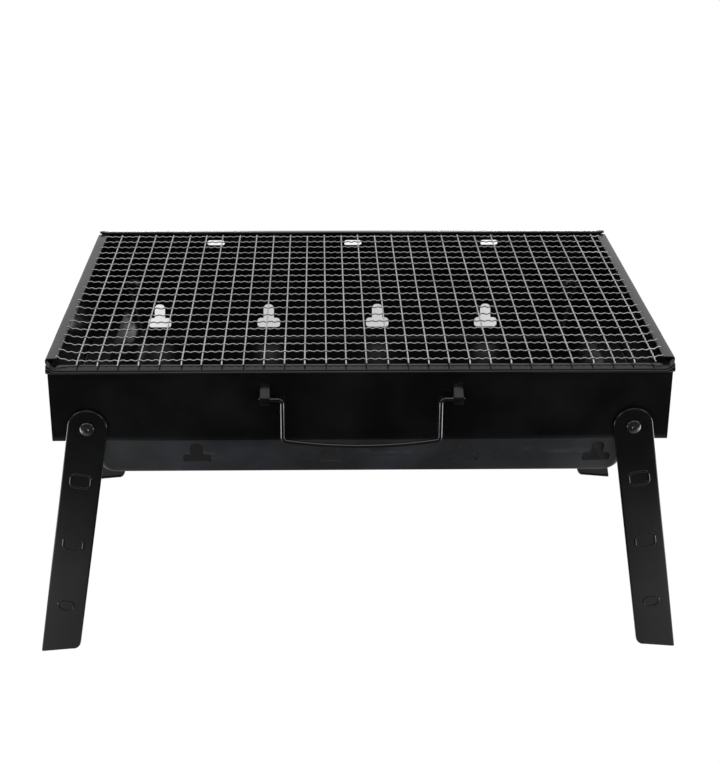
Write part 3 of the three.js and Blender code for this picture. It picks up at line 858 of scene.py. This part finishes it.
def crimped_wire(start, end, first, sign, across):
    """A wire from start to end whose crimps put it over and under the wires that it crosses."""
    pitch = NET_LONG_PITCH if across else NET_CROSS_PITCH
    steps = int((end - start).length / pitch * CRIMPS_PER_CELL * 6)
    points = []
    for k in range(steps + 1):
        point = start.lerp(end, k / steps)
        along = point.y if across else point.x
        phase = 2 * math.pi * CRIMPS_PER_CELL * (along - first) / pitch
        point.z += sign * NET_CRIMP * math.cos(phase) + net_sag(point.x, point.y)
        if across:
            point.z -= NET_END_BEND * max(first - point.y, 0)
        points.append(point)
    return tube_rings(points, NET_WIRE, 6)


def cooking_net():
    middle = net_low.z + NET_WIRE + NET_CRIMP
    verts, faces = [], []

    def add(rings):
        base = len(verts)
        around = len(rings[0])
        verts.extend(point for ring in rings for point in ring)
        faces.extend(tuple(base + i for i in face) for face in ring_faces(len(rings), around, False))
        faces.append(tuple(base + i for i in range(around)))
        faces.append(tuple(base + (len(rings) - 1) * around + i for i in range(around)))

    first_y = NET_REAR_ROW - (NET_LONG - 1) * NET_LONG_PITCH
    for i in range(NET_CROSS):
        x = NET_FIRST_X + i * NET_CROSS_PITCH + random.uniform(-0.25, 0.25) * MM
        lean = random.uniform(-0.3, 0.3) * MM
        front = net_low.y + random.uniform(0.0, 0.6) * MM
        rear = net_high.y - random.uniform(0.0, 1.4) * MM
        start, end = Vector((x - lean, front, middle)), Vector((x + lean, rear, middle))
        add(crimped_wire(start, end, first_y, -1 if i % 2 else 1, True))
    for j in range(NET_LONG):
        y = first_y + j * NET_LONG_PITCH + random.uniform(-0.2, 0.2) * MM
        left = net_low.x + random.uniform(0.0, 1.6) * MM
        right = net_high.x - random.uniform(0.0, 1.6) * MM
        start, end = Vector((left, y, middle)), Vector((right, y, middle))
        add(crimped_wire(start, end, NET_FIRST_X, 1 if j % 2 else -1, False))
    piece = mesh_object("net_wires", verts, faces)
    fix_normals(piece)
    return smooth(piece, 60)


# ---- Build the pieces ---------------------------------------------------------------------------
finish_piece(front_wall(), "box", "box_enamel", BOX_ENAMEL, "front_wall")
finish_piece(rear_wall(), "box", "box_enamel", BOX_ENAMEL, "rear_wall")
finish_piece(end_wall("right_end_panel", 1), "box", "box_enamel", BOX_ENAMEL, "right_end_wall")
finish_piece(end_wall("left_end_panel", -1), "box", "box_enamel", BOX_ENAMEL, "left_end_wall")
finish_piece(fire_pan(), "box", "pan_enamel", PAN_PAINTED_LIGHT_ENAMEL, "fire_pan")
finish_piece(handle(), "handle", "handle_wire", HANDLE_WIRE, "handle_bail")
finish_piece(cooking_net(), "net", "net_zinc", NET_ZINC, "cooking_net")
for rank, side_y in (("front", -1), ("rear", 1)):
    for hand, side_x in (("left", -1), ("right", 1)):
        corner = f"{rank}_{hand}"
        strip = leg(f"{corner}_leg_strip", side_x, side_y)
        finish_piece(strip, f"{corner}_leg", "leg_enamel", LEG_ENAMEL, f"{corner}_leg")
        pin = rivet(f"{corner}_rivet", side_x, side_y)
        finish_piece(pin, "box", "rivet_black", RIVET_BLACK, f"{corner}_leg_rivet")
        for node, material in (("leg_spacer", RIVET_BLACK), ("inner_washer", WASHER_ZINC)):
            paint(frame["nodes"][f"{corner}_{node}"], material)


# ---- Stage: floor, light and camera -------------------------------------------------------------
def floor():
    """An evenly lit white floor with a faint shadow behind the grill.

    Reflections find it dark in front of the grill and bright beside and behind it.
    """
    corners = [(x * FLOOR_HALF, y * FLOOR_HALF, 0) for x, y in ((-1, -1), (1, -1), (1, 1), (-1, 1))]
    plane = mesh_object("floor", corners, [(0, 1, 2, 3)])
    s = Shader("floor_white")
    place = s.nodes.new("ShaderNodeSeparateXYZ")
    s.link(s.where, place.inputs["Vector"])
    aside = s.size_of(place.outputs["X"])
    depth = place.outputs["Y"]
    beside = s.plus(s.ramp(aside, 0.10, 0.28, 0.06, 0.9), s.ramp(aside, 0.27, 0.36, 0.0, 4.5))
    beside = s.times(beside, s.ramp(depth, -0.35, -0.17, 0.03, 1.2))
    behind = s.ramp(depth, 0.16, 0.3, 0.0, 0.7)
    mirrored_floor = s.larger(beside, behind)
    shade = s.times(s.ramp(depth, 0.16, 0.34, 0.0, 1.0), s.ramp(depth, 0.5, 0.62, 1.0, 0.0))
    shade = s.times(shade, s.ramp(aside, 0.12, 0.23, -0.4, 0.0))
    seen = s.plus(s.times(s.ray("Camera"), shade), 1.0)
    strength = s.plus(seen, s.times(s.ray("Glossy"), s.plus(mirrored_floor, -1.0)))
    glow = s.nodes.new("ShaderNodeEmission")
    s.link(strength, glow.inputs["Strength"])
    s.link(glow.outputs["Emission"], s.nodes["Material Output"].inputs["Surface"])
    plane.data.materials.append(s.material)


def world():
    """A white backdrop behind, beside and above the grill; reflections find it dark in front."""
    made = bpy.data.worlds.new("studio")
    bpy.context.scene.world = made
    made.use_nodes = True
    s = Shader(made)
    way = s.nodes.new("ShaderNodeSeparateXYZ")
    s.link(s.generated, way.inputs["Vector"])
    behind = s.ramp(way.outputs["Y"], -0.25, 0.3, 0.06, 0.68)
    overhead = s.ramp(way.outputs["Z"], 0.74, 0.9, 0.0, 1.1)
    mirrored_backdrop = s.larger(behind, overhead)
    strength = s.plus(s.times(s.ray("Glossy"), s.plus(mirrored_backdrop, -1.0)), 1.0)
    s.link(strength, s.nodes["Background"].inputs["Strength"])
    s.nodes["Background"].inputs["Color"].default_value = (1, 1, 1, 1)


def area_light(name, place, target, size, power):
    data = bpy.data.lights.new(name, "AREA")
    data.shape = "RECTANGLE"
    data.size, data.size_y = size
    data.energy = power
    lamp = bpy.data.objects.new(name, data)
    lamp.location = place
    lamp.rotation_euler = (Vector(target) - Vector(place)).to_track_quat("-Z", "Y").to_euler()
    bpy.context.scene.collection.objects.link(lamp)


def camera():
    """The viewing angle: a little to the left of the middle, looking down at the front."""
    data = bpy.data.cameras.new("camera")
    data.lens = LENS
    data.sensor_width = SENSOR
    shooter = bpy.data.objects.new("camera", data)
    yaw, pitch, roll = (math.radians(angle) for angle in CAMERA_TURN)
    level = math.cos(pitch)
    forward = Vector((math.sin(yaw) * level, math.cos(yaw) * level, -math.sin(pitch)))
    right = forward.cross(Vector((0, 0, 1))).normalized()
    up = right.cross(forward)
    right, up = (
        math.cos(roll) * right + math.sin(roll) * up,
        -math.sin(roll) * right + math.cos(roll) * up)
    turn = Matrix((right, up, -forward)).transposed()
    shooter.matrix_world = Matrix.Translation(CAMERA_PLACE) @ turn.to_4x4()
    bpy.context.scene.collection.objects.link(shooter)
    bpy.context.scene.camera = shooter


floor()
world()
for side in (-1, 1):
    x, y, z = SOFTBOX_PLACE
    area_light("side_softbox", (side * x, y, z), SOFTBOX_TARGET, SOFTBOX_SIZE, SOFTBOX_POWER)
camera()
bpy.context.scene.view_settings.view_transform = "Standard"
